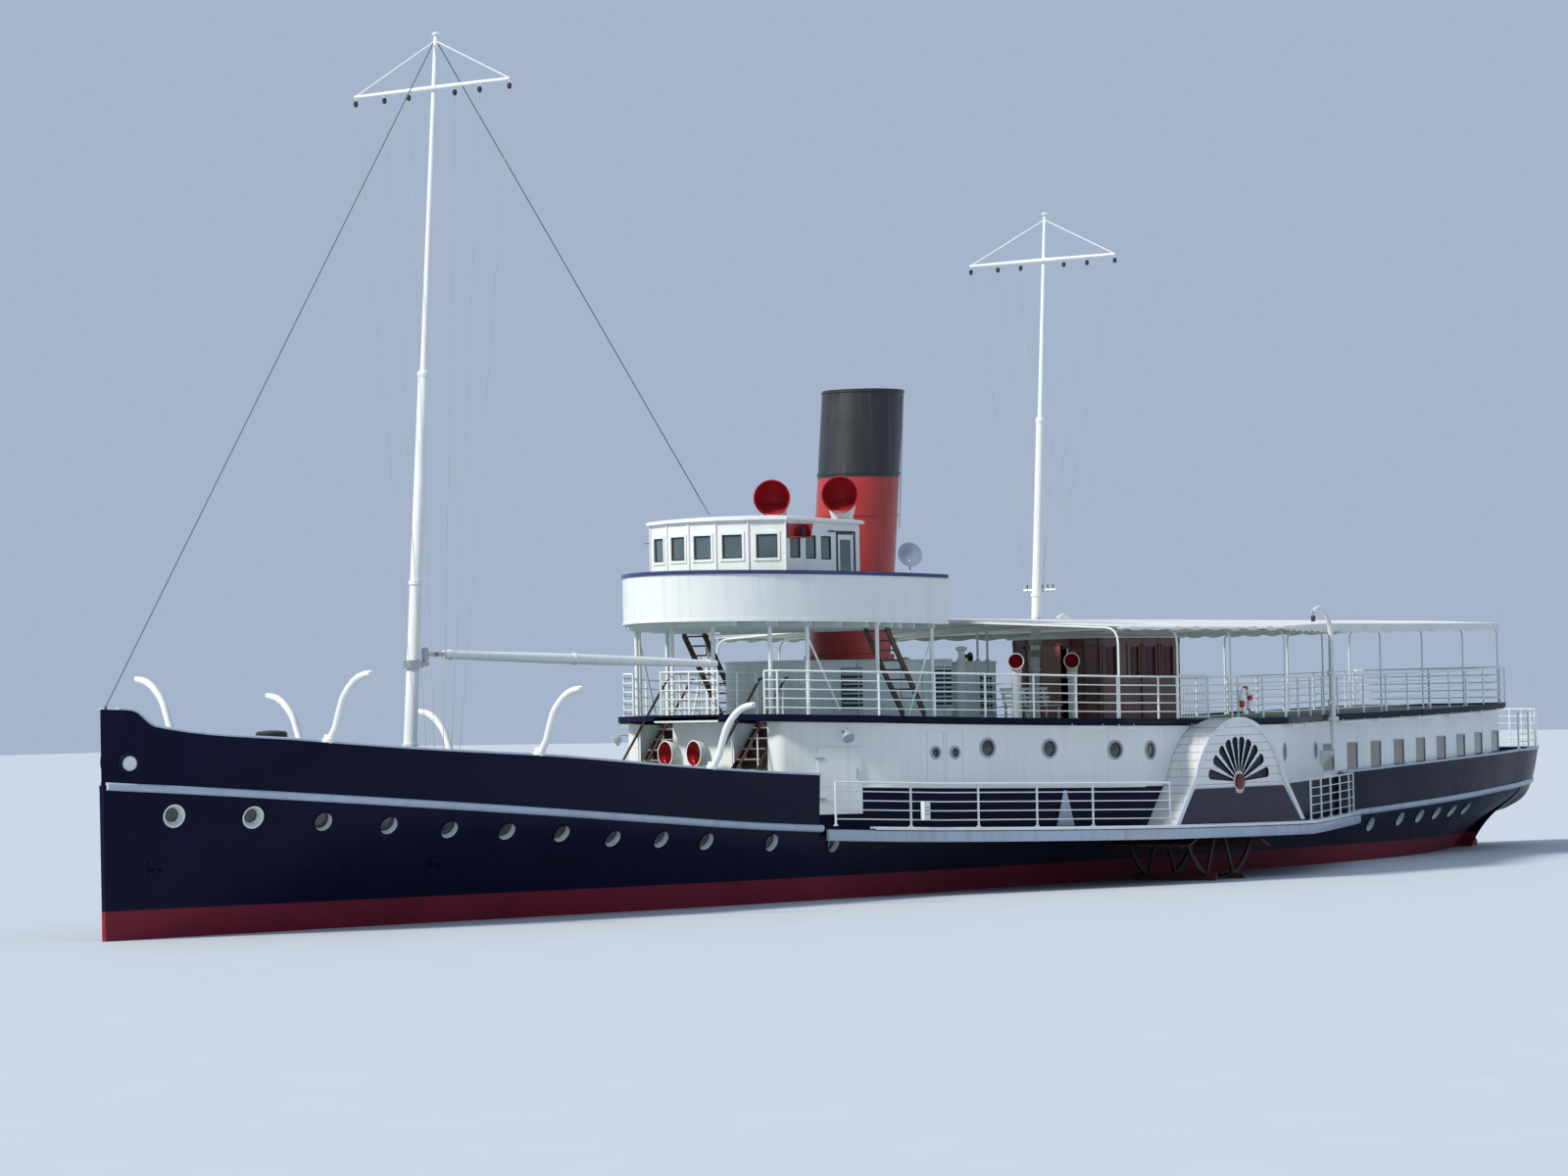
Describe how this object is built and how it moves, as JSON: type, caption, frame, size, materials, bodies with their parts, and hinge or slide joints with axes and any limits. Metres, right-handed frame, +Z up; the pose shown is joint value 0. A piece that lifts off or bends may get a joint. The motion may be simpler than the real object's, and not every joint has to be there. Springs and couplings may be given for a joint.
{
  "type": "paddle steamer, 1:10 scale model",
  "caption": "Two-decked excursion steamer with side paddle wheels in arched boxes, open bridge with wheelhouse, raked funnel, two masts, a boom and an awning over the after deck.",
  "frame": {"origin": "amidships on the centreline at the waterline", "axes": "+X forward to the stem, +Y to port, +Z up"},
  "size_m": [5.94, 1.43, 2.1405],
  "materials": {
    "navy_paint": "gloss",
    "bottom_red": "matte",
    "funnel_red": "satin",
    "white_paint": "satin",
    "deck_green": "matte",
    "casing_grey": "satin",
    "machinery_grey": "matte",
    "black_paint": "satin",
    "bare_steel": "brushed",
    "cabin_wood": "varnished",
    "stair_wood": "worn",
    "canvas": "woven"
  },
  "bodies": {
    "ship": {"hull": "navy_paint", "engine": "machinery_grey", "fore_bulwark": "navy_paint", "stern_bulwark": "navy_paint", "main_house": "white_paint", "promenade_deck": "deck_green", "sponson_port": "navy_paint", "sponson_starboard": "navy_paint", "paddle_box_port": "white_paint", "paddle_box_starboard": "white_paint", "promenade_rail": "white_paint", "fore_rail_port": "white_paint", "fore_rail_starboard": "white_paint", "side_rail_port": "white_paint", "side_rail_starboard": "white_paint", "stairhead_rail": "white_paint", "sponson_rail_fore_port": "white_paint", "sponson_rail_fore_starboard": "white_paint", "sponson_rail_aft_port": "white_paint", "sponson_rail_aft_starboard": "white_paint", "fore_stair_port": "stair_wood", "fore_stair_starboard": "stair_wood", "bridge": "white_paint", "wheelhouse": "white_paint", "wheelhouse_roof": "white_paint", "funnel": "funnel_red", "fore_casing": "casing_grey", "engine_casing": "casing_grey", "deckhouse": "cabin_wood", "deckhouse_roof": "white_paint", "foremast": "white_paint", "mainmast": "white_paint", "bridge_cowl_port": "white_paint", "bridge_cowl_starboard": "white_paint", "fore_cowl_port": "white_paint", "fore_cowl_starboard": "white_paint", "side_cowl_port": "white_paint", "side_cowl_starboard": "white_paint", "house_cowl_port": "white_paint", "house_cowl_starboard": "white_paint", "bridge_stair_port": "stair_wood", "bridge_stair_starboard": "stair_wood", "awning_frame": "white_paint", "awning_posts_port": "white_paint", "awning_posts_starboard": "white_paint", "awning": "canvas", "capstan": "black_paint", "forestay": "bare_steel", "bridge_stay": "bare_steel"},
    "paddles": {"paddle_shaft": "bare_steel", "paddle_wheel_port": "bottom_red", "paddle_wheel_starboard": "bottom_red"},
    "rudder": {"rudder": "bottom_red"},
    "gooseneck": {"boom_gooseneck": "bare_steel"},
    "boom": {"boom": "white_paint"},
    "door_port": {"wheelhouse_door_port": "white_paint"},
    "door_starboard": {"wheelhouse_door_starboard": "white_paint"},
    "davit_port": {"davit_port": "white_paint"},
    "davit_starboard": {"davit_starboard": "white_paint"}
  },
  "joints": [
    {"name": "paddle_spin", "type": "hinge", "parent": "ship", "child": "paddles", "pos_m": [-0.3, 0, 0.162], "axis": [0, 1, 0], "continuous": true},
    {"name": "rudder_turn", "type": "hinge", "parent": "ship", "child": "rudder", "pos_m": [-2.648, 0, 0], "axis": [0, 0, 1], "range_deg": [-35, 35]},
    {"name": "boom_swing", "type": "hinge", "parent": "ship", "child": "gooseneck", "pos_m": [1.962, 0, 0.585], "axis": [0, 0, 1], "range_deg": [-60, 88]},
    {"name": "boom_luff", "type": "hinge", "parent": "gooseneck", "child": "boom", "pos_m": [1.92903, 0.0083, 0.585], "axis": [0.244, 0.9698, 0], "range_deg": [0, 60]},
    {"name": "door_port_hinge", "type": "hinge", "parent": "ship", "child": "door_port", "pos_m": [0.6936, 0.2038, 0.76], "axis": [0, 0, -1], "range_deg": [0, 100]},
    {"name": "door_starboard_hinge", "type": "hinge", "parent": "ship", "child": "door_starboard", "pos_m": [0.6936, -0.2038, 0.76], "axis": [0, 0, 1], "range_deg": [0, 100]},
    {"name": "davit_port_turn", "type": "hinge", "parent": "ship", "child": "davit_port", "pos_m": [-1.24, 0.413, 0.5], "axis": [0, 0, 1], "range_deg": [-100, 100]},
    {"name": "davit_starboard_turn", "type": "hinge", "parent": "ship", "child": "davit_starboard", "pos_m": [-1.24, -0.413, 0.5], "axis": [0, 0, 1], "range_deg": [-100, 100]}
  ]
}
